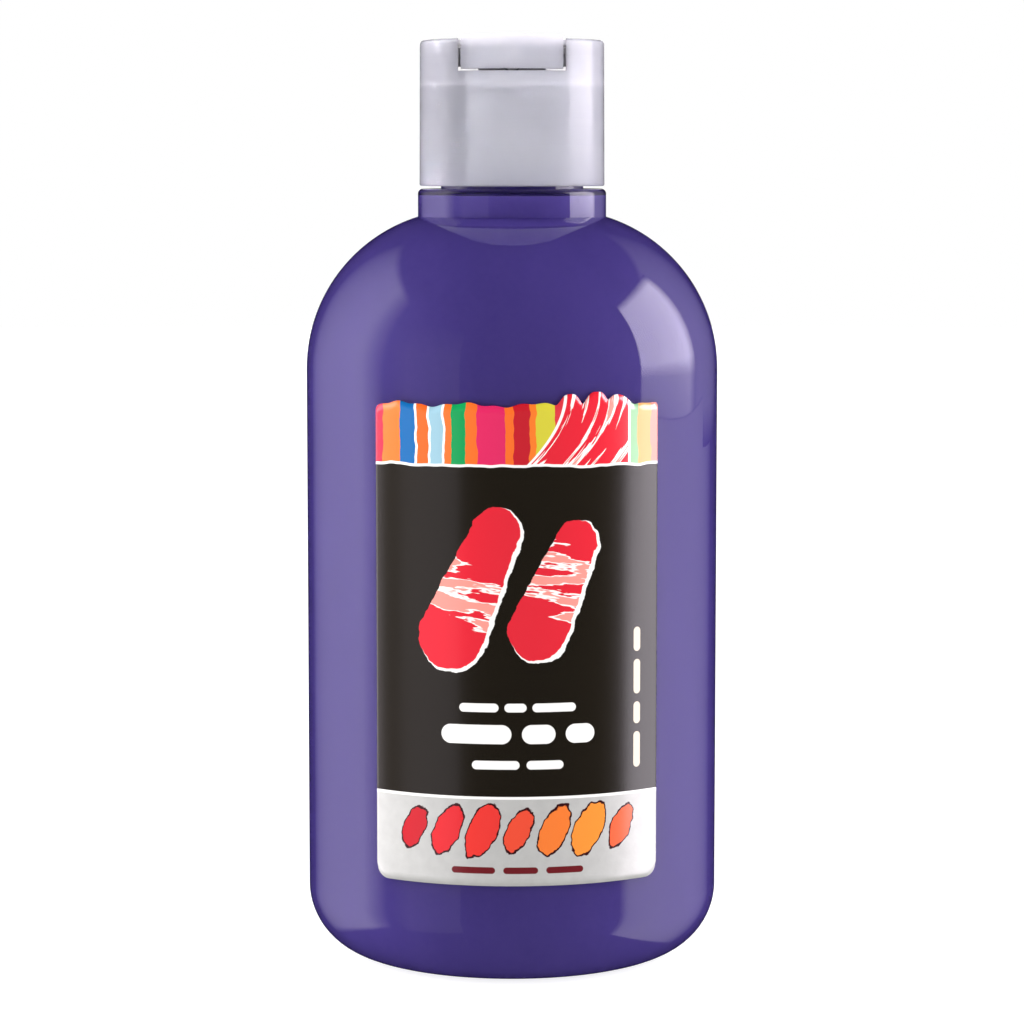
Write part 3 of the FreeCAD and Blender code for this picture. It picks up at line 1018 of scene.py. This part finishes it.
def settle(piece: bpy.types.Object, body: Body, slot: Slot, finish: bpy.types.Material, *nodes: str) -> None:
    """Dresses a piece and hands it to the frame in place of its CAD nodes."""
    piece.data.materials.clear()
    piece.data.materials.append(finish)
    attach(piece, body.value)
    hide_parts(*nodes)
    LOG.info("%s: %d faces on %s", piece.name, len(piece.data.polygons), body.value)


def height_of(node: str, top: bool) -> float:
    """The lowest or highest level of a CAD node in millimetres."""
    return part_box(node)[int(top)][2] / MM


def levels_of(node: str) -> Point:
    """The lowest and highest levels of a CAD node in millimetres."""
    return height_of(node, False), height_of(node, True)


def reach_of(node: str) -> float:
    """Half the width of a CAD node in millimetres."""
    low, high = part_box(node)
    return (high[0] - low[0]) / 2 / MM


# ---------------------------------------------------------------- bottle


@dataclass
class Bottle:
    """The clear bottle, the paint in it and its threaded neck, in millimetres."""

    radius: float
    finish_top: float
    wall: float = 0.9
    heel: float = 12.4
    ring: float = 2.4
    push_up: float = 4.6
    shoulder: float = 28.4
    collar: float = 16.8
    collar_wall: float = 1.25
    collar_height: float = 4.97
    collar_round: float = 0.9
    lip_round: float = 0.3
    finish_length: float = 17.2
    root: float = 12.7
    bore: float = 10.8
    thread_depth: float = 1.1
    thread_buried: float = 0.2
    thread_root: float = 2.3
    thread_crest: float = 1.1
    thread_start: float = 7.4
    pitch: float = 4.233
    thread_turns: float = 1.5
    paint_level: float = 148.3
    meniscus: tuple[Point, ...] = ((0.0, 0.02), (0.5, 0.55), (1.5, 0.95))
    paint_dip: float = 1.1
    wetting: float = 0.06
    sides: int = 176

    @property
    def collar_top(self) -> float:
        """Level of the top of the collar."""
        return self.finish_top - self.finish_length

    @property
    def shoulder_axis(self) -> Point:
        """Middle of the shoulder's arc."""
        across = self.radius - self.shoulder
        rise = math.sqrt(self.shoulder**2 - (self.collar - across) ** 2)
        return across, self.collar_top - self.collar_height - rise

    def body(self, skin: float, neck: float, steps: int) -> list[Point]:
        """The base, the heel and the shoulder, from the axis up to the collar.

        Args:
            skin: Depth in the wall at the body and the base.
            neck: Depth in the wall at the collar.
            steps: Chords of the shoulder.

        Returns:
            The points of the outline.
        """
        heel_axis = self.radius - self.heel
        ring_inner = heel_axis - self.ring
        dome = (ring_inner**2 + self.push_up**2) / (2 * self.push_up)
        half = math.degrees(math.asin(ring_inner / dome))
        across, level = self.shoulder_axis
        radius = self.shoulder - skin
        end = math.degrees(math.acos((self.collar - neck - across) / radius))
        points = arc((0.0, self.push_up + skin - dome), dome, 90.0, 90.0 - half, 14)
        points += arc((heel_axis, self.heel), self.heel - skin, -90.0, 0.0, 18)
        points += arc((across, level), radius, 0.0, end, steps)
        return points

    def inside(self, skin: float, neck: float, bore: float) -> list[Point]:
        """The inside from the axis of the base up to the bore.

        Args:
            skin: Wall at the body and the base.
            neck: Wall at the collar.
            bore: Radius of the bore.

        Returns:
            The points of the outline.
        """
        shelf = self.collar_top - neck
        return self.body(skin, neck, 30) + [(self.collar - neck, shelf), (bore, shelf)]

    def shell(self) -> bpy.types.Object:
        """The blown wall with its neck thread."""
        outside = self.body(0.0, 0.0, 36)
        rounding = self.collar_round
        outside += arc((self.collar - rounding, self.collar_top - rounding), rounding, 0.0, 90.0, 8)
        outside += [(self.root, self.collar_top)]
        rounding, lip = self.lip_round, self.finish_top - self.lip_round
        outside += arc((self.root - rounding, lip), rounding, 0.0, 90.0, 4)
        outside += arc((self.bore + rounding, lip), rounding, 90.0, 180.0, 4)
        inside = self.inside(self.wall, self.collar_wall, self.bore)
        mesh = bmesh.new()
        turn(mesh, outside + inside[::-1], self.sides)
        middle = self.collar_top + self.thread_start
        buried = self.root - self.thread_depth * self.thread_buried
        crest = self.root + self.thread_depth
        section = [
            (buried, middle - self.thread_root / 2),
            (crest, middle - self.thread_crest / 2),
            (crest, middle + self.thread_crest / 2),
            (buried, middle + self.thread_root / 2),
        ]
        wind(mesh, section, self.pitch, self.thread_turns, 96)
        return finish_mesh(mesh, "bottle_shell", 40.0)

    def paint(self) -> bpy.types.Object:
        """The paint, which wets the wall and climbs a little at its surface."""
        skin = self.wall - self.wetting
        edge = self.bore + self.wetting
        points = self.inside(skin, self.collar_wall - self.wetting, edge)
        level = self.paint_level
        points += [(edge - inward, level - fall) for inward, fall in self.meniscus]
        points += [(0.0, level - self.paint_dip)]
        return lathe("paint", points, self.sides)

    def build(self) -> None:
        """Builds and dresses the bottle and its paint."""
        settle(self.shell(), Body.BOTTLE, Slot.CLEAR, ClearPlastic().material(), "bottle")
        settle(self.paint(), Body.BOTTLE, Slot.PAINT, VioletPaint().material(), "paint_fill")


# ---------------------------------------------------------------- labels


@dataclass
class Label:
    """A label on the bottle, in millimetres and degrees.

    A torn top edge lies a depth under the top, with waves as (height, rate, phase) and crests as
    (middle, width, height).
    """

    node: str
    radius: float
    bottom: float
    top: float
    middle: float
    angle: float = 82.0
    paper: float = 0.1
    corner: float = 2.6
    torn: bool = True
    torn_depth: float = 2.1
    waves: tuple[Triple, ...] = ((0.30, 0.52, 0.0), (0.16, 1.43, 1.0))
    crests: tuple[Triple, ...] = ((8.9, 1.9, 1.95), (13.6, 2.1, 1.8), (18.2, 2.3, 1.35))
    columns: int = 164
    rows: int = 60

    @property
    def width(self) -> float:
        """Width along the curve."""
        return math.radians(self.angle) * self.radius

    def top_edge(self, x: float) -> float:
        """Height of the top edge at a distance from the label's middle."""
        if not self.torn:
            return self.top - self.rounding(x)
        level = self.top - self.torn_depth
        for height, rate, phase in self.waves:
            level += height * math.sin(x * rate + phase)
        level += max(rise * math.exp(-(((x - middle) / width) ** 4)) for middle, width, rise in self.crests)
        return min(level, self.top) - self.rounding(x) * 0.4

    def rounding(self, x: float) -> float:
        """How far a rounded corner draws the edge in at a distance from the middle."""
        inward = self.corner - (self.width / 2 - abs(x))
        return self.corner - math.sqrt(self.corner**2 - inward**2) if inward > 0 else 0.0

    def fit(self, mesh: bmesh.types.BMesh, start: float) -> None:
        """Draws the rows of a plain sheet to the label's edges and maps its print.

        Args:
            mesh: Sheet round the axis, which is 1 tall.
            start: Bearing of its first column in radians.
        """
        flat = mesh.loops.layers.uv.new(UV_NAME)
        share: dict[bmesh.types.BMVert, Point] = {}
        for vert in mesh.verts:
            turned = (math.atan2(vert.co.y, vert.co.x) - start) % math.tau
            across = min(turned / math.radians(self.angle), 1.0) if turned < math.pi else 0.0
            x = (across - 0.5) * self.width
            low, high = self.bottom + self.rounding(x), self.top_edge(x)
            level = low + (high - low) * vert.co.z
            vert.co.z = level * MM
            share[vert] = (across, (level - self.bottom) / (self.top - self.bottom))
        for face in mesh.faces:
            face.smooth = True
            for loop in face.loops:
                loop[flat].uv = share[loop.vert]

    def build(self, finish: bpy.types.Material) -> None:
        """Builds and dresses the label."""
        mesh = bmesh.new()
        start = math.radians(self.middle - self.angle / 2)
        levels = (row / self.rows for row in range(self.rows + 1))
        verts = [mesh.verts.new((self.radius * MM, 0.0, level)) for level in levels]
        edges = [mesh.edges.new(pair) for pair in zip(verts, verts[1:])]
        bmesh.ops.rotate(mesh, verts=verts, cent=(0, 0, 0), matrix=Matrix.Rotation(start, 3, "Z"))
        sweep(mesh, verts + edges, math.radians(self.angle), self.columns)
        self.fit(mesh, start)
        bmesh.ops.recalc_face_normals(mesh, faces=mesh.faces)
        outward = mesh.faces[:][0]
        if outward.normal.dot(outward.calc_center_median()) < 0:
            bmesh.ops.reverse_faces(mesh, faces=mesh.faces)
        piece = add_piece(mesh, self.node)
        piece.name = self.node + "_paper"
        thick = piece.modifiers.new("paper", "SOLIDIFY")
        thick.thickness = self.paper * MM
        thick.offset = -1.0
        apply_modifiers(piece)
        settle(piece, Body.BOTTLE, Slot.LABEL, finish, self.node)


# ---------------------------------------------------------------- cap


@dataclass
class Cap:
    """The cap body: outer wall, skirt, deck, saddle and notch, in millimetres."""

    rim: float
    bottom: float
    radius: float = 16.5
    draft: float = 0.12
    wall: float = 1.0
    rim_round: float = 0.7
    skirt_inner: float = 13.95
    skirt_wall: float = 0.9
    skirt_lift: float = 1.8
    deck_under: float = 155.7
    deck: float = 1.0
    well_wall: float = 1.18
    notch: float = 18.8
    notch_depth: float = 5.6
    pivot_drop: float = 3.4
    socket: float = 1.28
    socket_reach: float = 15.9
    seat: float = 3.38
    saddle_length: float = 11.0
    saddle_width: float = 4.4
    port: Point = (5.0, 1.2)
    edge: float = 0.22

    def moulding(self) -> bpy.types.Object:
        """The turned moulding with its skirt."""
        top = self.radius - self.draft
        well = top - self.well_wall
        deck_top = self.deck_under + self.deck
        lip = self.bottom + self.skirt_lift
        outline = [
            (0.0, self.deck_under),
            (self.skirt_inner, self.deck_under),
            (self.skirt_inner, lip, 0.2),
            (self.skirt_inner + self.skirt_wall, lip, 0.2),
            (self.skirt_inner + self.skirt_wall, self.deck_under),
            (self.radius - self.wall, self.deck_under),
            (self.radius - self.wall, self.bottom, 0.2),
            (self.radius, self.bottom, 0.32),
            (top, self.rim, self.rim_round),
            (well, self.rim, 0.25),
            (well, deck_top, 0.3),
            (0.0, deck_top),
        ]
        return lathe("cap", softened(outline), 192)

    def build(self, finish: bpy.types.Material) -> None:
        """Builds and dresses the cap body."""
        pivot = self.rim - self.pivot_drop
        deck_top = self.deck_under + self.deck
        half, side = self.saddle_length / 2, self.saddle_width / 2
        saddle = block("saddle", (-half, -side, deck_top - 0.5), (half, side, pivot - 1.0))
        join(saddle, Join.CUT, rod("seat", self.seat, (-half - 1, 0, pivot), (half + 1, 0, pivot), 96))
        cap = join(self.moulding(), Join.ADD, saddle)
        half, low = self.notch / 2, self.rim - self.notch_depth
        notch = block("notch", (-half, -self.radius - 4, low), (half, 0, self.rim + 4))
        reach = self.socket_reach
        sockets = rod("sockets", self.socket, (-reach, 0, pivot), (reach, 0, pivot))
        half, side = self.port[0] / 2, self.port[1] / 2
        slit = block("port", (-half, -side, deck_top - 3), (half, side, pivot + 1))
        join(cap, Join.CUT, notch, sockets, slit)
        ease_edges(cap, self.edge)
        cap.name = "cap_moulding"
        settle(cap, Body.CAP, Slot.CAP, finish, "cap_body")


@dataclass
class PressDisc:
    """The tilting disc with its nozzle, drum valve and axle, in millimetres."""

    rim: float
    cap_top: float = 16.38
    radius: float = 14.95
    ball: float = 15.05
    drop: float = 0.25
    plate: float = 1.0
    crown: float = 0.65
    crown_fall: float = 0.3
    notch: float = 18.8
    notch_depth: float = 5.6
    lobe_gap: float = 0.45
    lobe_lift: float = 0.3
    lobe_back: float = 6.0
    lobe_wall: float = 1.3
    pivot_drop: float = 3.4
    drum: float = 3.3
    drum_length: float = 12.0
    axle: float = 1.2
    axle_end: float = 15.75
    nozzle: float = 2.1
    bore: float = 1.3
    web: float = 1.2
    dish: float = 16.0
    dish_depth: float = 0.45
    dish_back: float = 8.6
    tilt: float = 22.0
    port: Point = (5.0, 1.2)
    spout: float = 1.1
    spout_start: float = 1.2
    spout_reach: float = 2.2
    web_inset: float = 0.55
    edge: float = 0.16

    @property
    def pivot(self) -> float:
        """Level of the axle."""
        return self.rim - self.pivot_drop

    @property
    def top(self) -> float:
        """Level of the top of the plate."""
        return self.rim - self.drop

    @property
    def lobe_half(self) -> float:
        """Half the width of the raised band and of the front lobe."""
        return self.notch / 2 - self.lobe_gap

    @property
    def lobe_inner(self) -> float:
        """Radius of the back of the front lobe."""
        return self.cap_top - self.lobe_wall

    def plate_piece(self) -> bpy.types.Object:
        """The round plate, whose rim is part of a ball round the pivot."""
        pivot, top = self.pivot, self.top
        under = top - self.plate
        low = math.degrees(math.asin((under - pivot) / self.ball))
        high = math.degrees(math.asin((top - pivot) / self.ball))
        edge = [(min(r, self.radius), z) for r, z in arc((0.0, pivot), self.ball, low, high, 6)]
        return lathe("plate", [(0.0, under), *edge, (0.0, top)], 192)

    def band_piece(self) -> bpy.types.Object:
        """The raised band from the front of the disc to behind its middle, crowned across."""
        half = self.lobe_half
        top, under = self.rim + self.crown, self.top - self.plate
        mesh = bmesh.new()
        low, high = Vector((-half, -self.cap_top, under)), Vector((half, self.lobe_back, top))
        matrix = Matrix.Translation((low + high) / 2 * MM) @ Matrix.Diagonal((*((high - low) * MM), 1.0))
        bmesh.ops.create_cube(mesh, size=1.0, matrix=matrix)
        cuts = [edge for edge in mesh.edges if abs(edge.verts[0].co.x - edge.verts[1].co.x) > half * MM]
        bmesh.ops.subdivide_edges(mesh, edges=cuts, cuts=23, use_grid_fill=True)
        for vert in mesh.verts:
            if vert.co.z > (top - 0.5) * MM:
                vert.co.z -= self.crown_fall * MM * (vert.co.x / (half * MM)) ** 2
        return finish_mesh(mesh, "band")

    def front_piece(self) -> bpy.types.Object:
        """The front lobe, which fills the cap's notch and bears the nozzle."""
        low = self.rim - self.notch_depth + self.lobe_lift
        half = self.lobe_half
        front = block("front", (-half, -self.cap_top - 1, low), (half, -self.nozzle, self.top - 0.1))
        join(front, Join.KEEP, plug("outside", self.cap_top, self.pivot, 9))
        return join(front, Join.CUT, plug("inside", self.lobe_inner, self.pivot, 10))

    def bars(self) -> list[bpy.types.Object]:
        """The drum valve, the axle, the nozzle and the rib under the plate."""
        pivot, length = self.pivot, self.drum_length / 2
        end, side = self.radius - self.web_inset, self.web / 2
        nozzle_end = -self.lobe_inner - self.lobe_wall / 2
        return [
            rod("drum", self.drum, (-length, 0, pivot), (length, 0, pivot), 96),
            rod("axle", self.axle, (-self.axle_end, 0, pivot), (self.axle_end, 0, pivot)),
            rod("nozzle", self.nozzle, (0, 0, pivot), (0, nozzle_end, pivot)),
            block("rib", (-end, -side, pivot), (end, side, self.top - self.plate / 2)),
        ]

    def hollows(self) -> list[bpy.types.Object]:
        """The nozzle's channel and spout, the drum's slit and the dish for the finger."""
        pivot = self.pivot
        start = self.lobe_inner - self.spout_start * self.nozzle
        reach = self.spout_reach * self.nozzle * math.sqrt(0.5)
        half, side = self.port[0] / 2, self.port[1] / 2
        slit = block("slit", (-half, -side, -self.drum - 1), (half, side, 0.0))
        turned = Matrix.Rotation(math.radians(self.tilt), 4, "X")
        slit.data.transform(Matrix.Translation((0, 0, pivot * MM)) @ turned)
        return [
            rod("channel", self.bore, (0, 0.2, pivot), (0, -start - self.spout, pivot)),
            rod("spout", self.spout, (0, -start, pivot), (0, -start - reach, pivot - reach), 48),
            slit,
            ball("dish", self.dish, (0, self.dish_back, self.top + self.dish - self.dish_depth)),
        ]

    def build(self, finish: bpy.types.Material) -> None:
        """Builds and dresses the disc."""
        band = join(self.band_piece(), Join.KEEP, plug("outside", self.cap_top, self.pivot, 9))
        disc = join(self.plate_piece(), Join.ADD, band, self.front_piece(), *self.bars())
        join(disc, Join.CUT, *self.hollows())
        ease_edges(disc, self.edge)
        disc.name = "press_disc_moulding"
        settle(disc, Body.DISC, Slot.CAP, finish, "disc")


@dataclass
class Liner:
    """The foam washer under the deck, in millimetres."""

    bottom: float
    top: float
    radius: float
    hole: float = 4.0
    edge: float = 0.15

    def build(self) -> None:
        """Builds and dresses the washer."""
        outline = [
            (self.hole, self.bottom, self.edge),
            (self.radius, self.bottom, self.edge),
            (self.radius, self.top, self.edge),
            (self.hole, self.top, self.edge),
        ]
        washer = lathe("liner", softened(outline, 3), 96)
        settle(washer, Body.LINER, Slot.FOAM, LinerFoam().material(), "seal_liner")


# ---------------------------------------------------------------- studio


@dataclass(frozen=True)
class Panel:
    """An upright glowing panel that faces the bottle and that only reflections and shading see.

    Its ends are degrees from the camera's side, positive to the right. Its levels and its distance from
    the axis are metres. A strength of 1 is white, and the light rises over shares of the panel at its near,
    far, bottom and top edges.
    """

    name: str
    ends: Point
    levels: Point
    distance: float
    strength: float
    edges: tuple[float, float, float, float]

    def build(self) -> None:
        """Builds the panel."""
        middle = math.radians(sum(self.ends) / 2)
        half = self.distance * math.tan(math.radians(abs(self.ends[1] - self.ends[0]) / 2))
        near, far, low, high = self.edges
        rises = (near, far, low, high) if middle > 0 else (far, near, low, high)
        mesh = bmesh.new()
        bmesh.ops.create_grid(mesh, x_segments=1, y_segments=1, size=0.5)
        flat = mesh.loops.layers.uv.new(UV_NAME)
        for face in mesh.faces:
            for loop in face.loops:
                loop[flat].uv = (loop.vert.co.x + 0.5, loop.vert.co.y + 0.5)
        place = (
            Matrix.Rotation(middle, 4, "Z")
            @ Matrix.Translation((0.0, -self.distance, sum(self.levels) / 2))
            @ Matrix.Rotation(math.pi / 2, 4, "X")
            @ Matrix.Diagonal((2 * half, self.levels[1] - self.levels[0], 1.0, 1.0))
        )
        bmesh.ops.transform(mesh, matrix=place, verts=mesh.verts)
        card = add_piece(mesh, self.name)
        card.data.materials.append(PanelGlow(self.name, self.strength, rises).material())
        hide_from(card, "camera")


@dataclass(frozen=True)
class Lamp:
    """A soft lamp that shades the bottle without showing in its gloss.

    Its place, its width and height and the point it faces are metres, its power watts, and the spread of
    its beam degrees.
    """

    name: str
    place: Place
    size: Point
    power: float
    aim: Place = (0.0, 0.0, 0.09)
    spread: float = 180.0

    def build(self) -> None:
        """Builds the lamp."""
        data = bpy.data.lights.new(self.name, "AREA")
        data.shape = "RECTANGLE"
        data.size, data.size_y = self.size
        data.energy = self.power
        data.spread = math.radians(self.spread)
        lamp = bpy.data.objects.new(self.name, data)
        lamp.location = self.place
        lamp.rotation_euler = (Vector(self.aim) - Vector(self.place)).to_track_quat("-Z", "Y").to_euler()
        hide_from(lamp, "camera", "glossy")
        bpy.context.scene.collection.objects.link(lamp)


@dataclass
class Studio:
    """Floor, surroundings, lights and camera, in metres and degrees."""

    camera_distance: float = 0.634
    camera_height: float = 0.143
    camera_tilt: float = 5.706
    lens: float = 124.27
    sensor: float = 36.0
    floor_radius: float = 2.4
    room_radius: float = 6.0
    ambient: float = 0.74
    sky: Colour = (0.97, 0.97, 1.0)
    lights: tuple[Panel | Lamp, ...] = (
        Panel("left_panel", (-74.0, -148.0), (-0.6, 1.1), 0.9, 1.7, (0.25, 0.7, 0.05, 0.06)),
        Panel("front_left_panel", (-28.0, -69.0), (-0.6, 0.7), 0.95, 0.25, (0.02, 0.25, 0.05, 0.3)),
        Panel("right_window", (74.0, 124.0), (-0.01, 0.89), 0.9, 5.4, (0.03, 0.2, 0.20, 0.12)),
        Panel("right_panel", (62.0, 146.0), (-0.8, 0.045), 0.84, 1.7, (0.10, 0.7, 0.05, 0.001)),
        Panel("right_back_panel", (112.0, 158.0), (0.02, 1.0), 0.95, 0.6, (0.1, 0.7, 0.02, 0.1)),
        Lamp("left_fill", (-0.85, -0.1, 0.25), (0.7, 0.9), 17.0),
        Lamp("right_fill", (0.85, -0.1, 0.25), (0.7, 0.9), 8.5),
        Lamp("cap_snoot", (0.0, -0.60, 0.30), (0.044, 0.026), 0.0058, (0.0, -0.017, 0.151), 2.0),
    )

    def surroundings(self) -> None:
        """The floor, a white room that only the camera sees, and the world's even light."""
        mesh = bmesh.new()
        bmesh.ops.create_circle(mesh, cap_ends=True, segments=96, radius=self.floor_radius)
        floor = finish_mesh(mesh, "floor")
        floor.data.materials.append(StudioFloor().material())
        hide_from(floor, "glossy")
        mesh = bmesh.new()
        bmesh.ops.create_uvsphere(mesh, u_segments=48, v_segments=24, radius=self.room_radius)
        room = finish_mesh(mesh, "room")
        room.data.materials.append(StudioWall().material())
        hide_from(room, "diffuse", "glossy", "transmission", "shadow")
        world = bpy.data.worlds.new("studio")
        bpy.context.scene.world = world
        world.use_nodes = True
        background = world.node_tree.nodes["Background"]
        background.inputs["Color"].default_value = (*self.sky, 1.0)
        background.inputs["Strength"].default_value = self.ambient
        world.cycles_visibility.glossy = False

    def camera(self) -> None:
        """The camera in front of the bottle, a little above its middle."""
        data = bpy.data.cameras.new("camera")
        data.lens = self.lens
        data.sensor_width = self.sensor
        camera = bpy.data.objects.new("camera", data)
        camera.location = (0.0, -self.camera_distance, self.camera_height)
        camera.rotation_euler = (math.radians(90.0 - self.camera_tilt), 0.0, 0.0)
        bpy.context.scene.collection.objects.link(camera)
        bpy.context.scene.camera = camera

    def build(self) -> None:
        """Builds the studio."""
        self.surroundings()
        self.camera()
        for light in self.lights:
            light.build()
        view = bpy.context.scene.view_settings
        view.view_transform = "Standard"
        view.look = "None"


def main() -> None:
    """Builds every piece in order."""
    logging.basicConfig(level=logging.INFO, format="%(message)s")
    bottle = Bottle(radius=reach_of("bottle"), finish_top=height_of("bottle", True))
    bottle.build()
    lifted = bottle.radius + LABEL_LIFT
    front = Label("front_label", lifted, *levels_of("front_label"), -88.3)
    front.build(LabelPaper("front_print", FrontPrint(front.width, front.top - front.bottom)).material())
    back = Label("back_label", lifted, *levels_of("back_label"), 90.0, torn=False)
    back.build(LabelPaper("back_print", BackPrint(back.width, back.top - back.bottom)).material())
    Liner(*levels_of("seal_liner"), reach_of("seal_liner")).build()
    plastic = CapPlastic().material()
    Cap(rim=height_of("cap_body", True), bottom=height_of("cap_body", False)).build(plastic)
    PressDisc(rim=height_of("cap_body", True)).build(plastic)
    Studio().build()


if __name__ == "__main__":
    main()
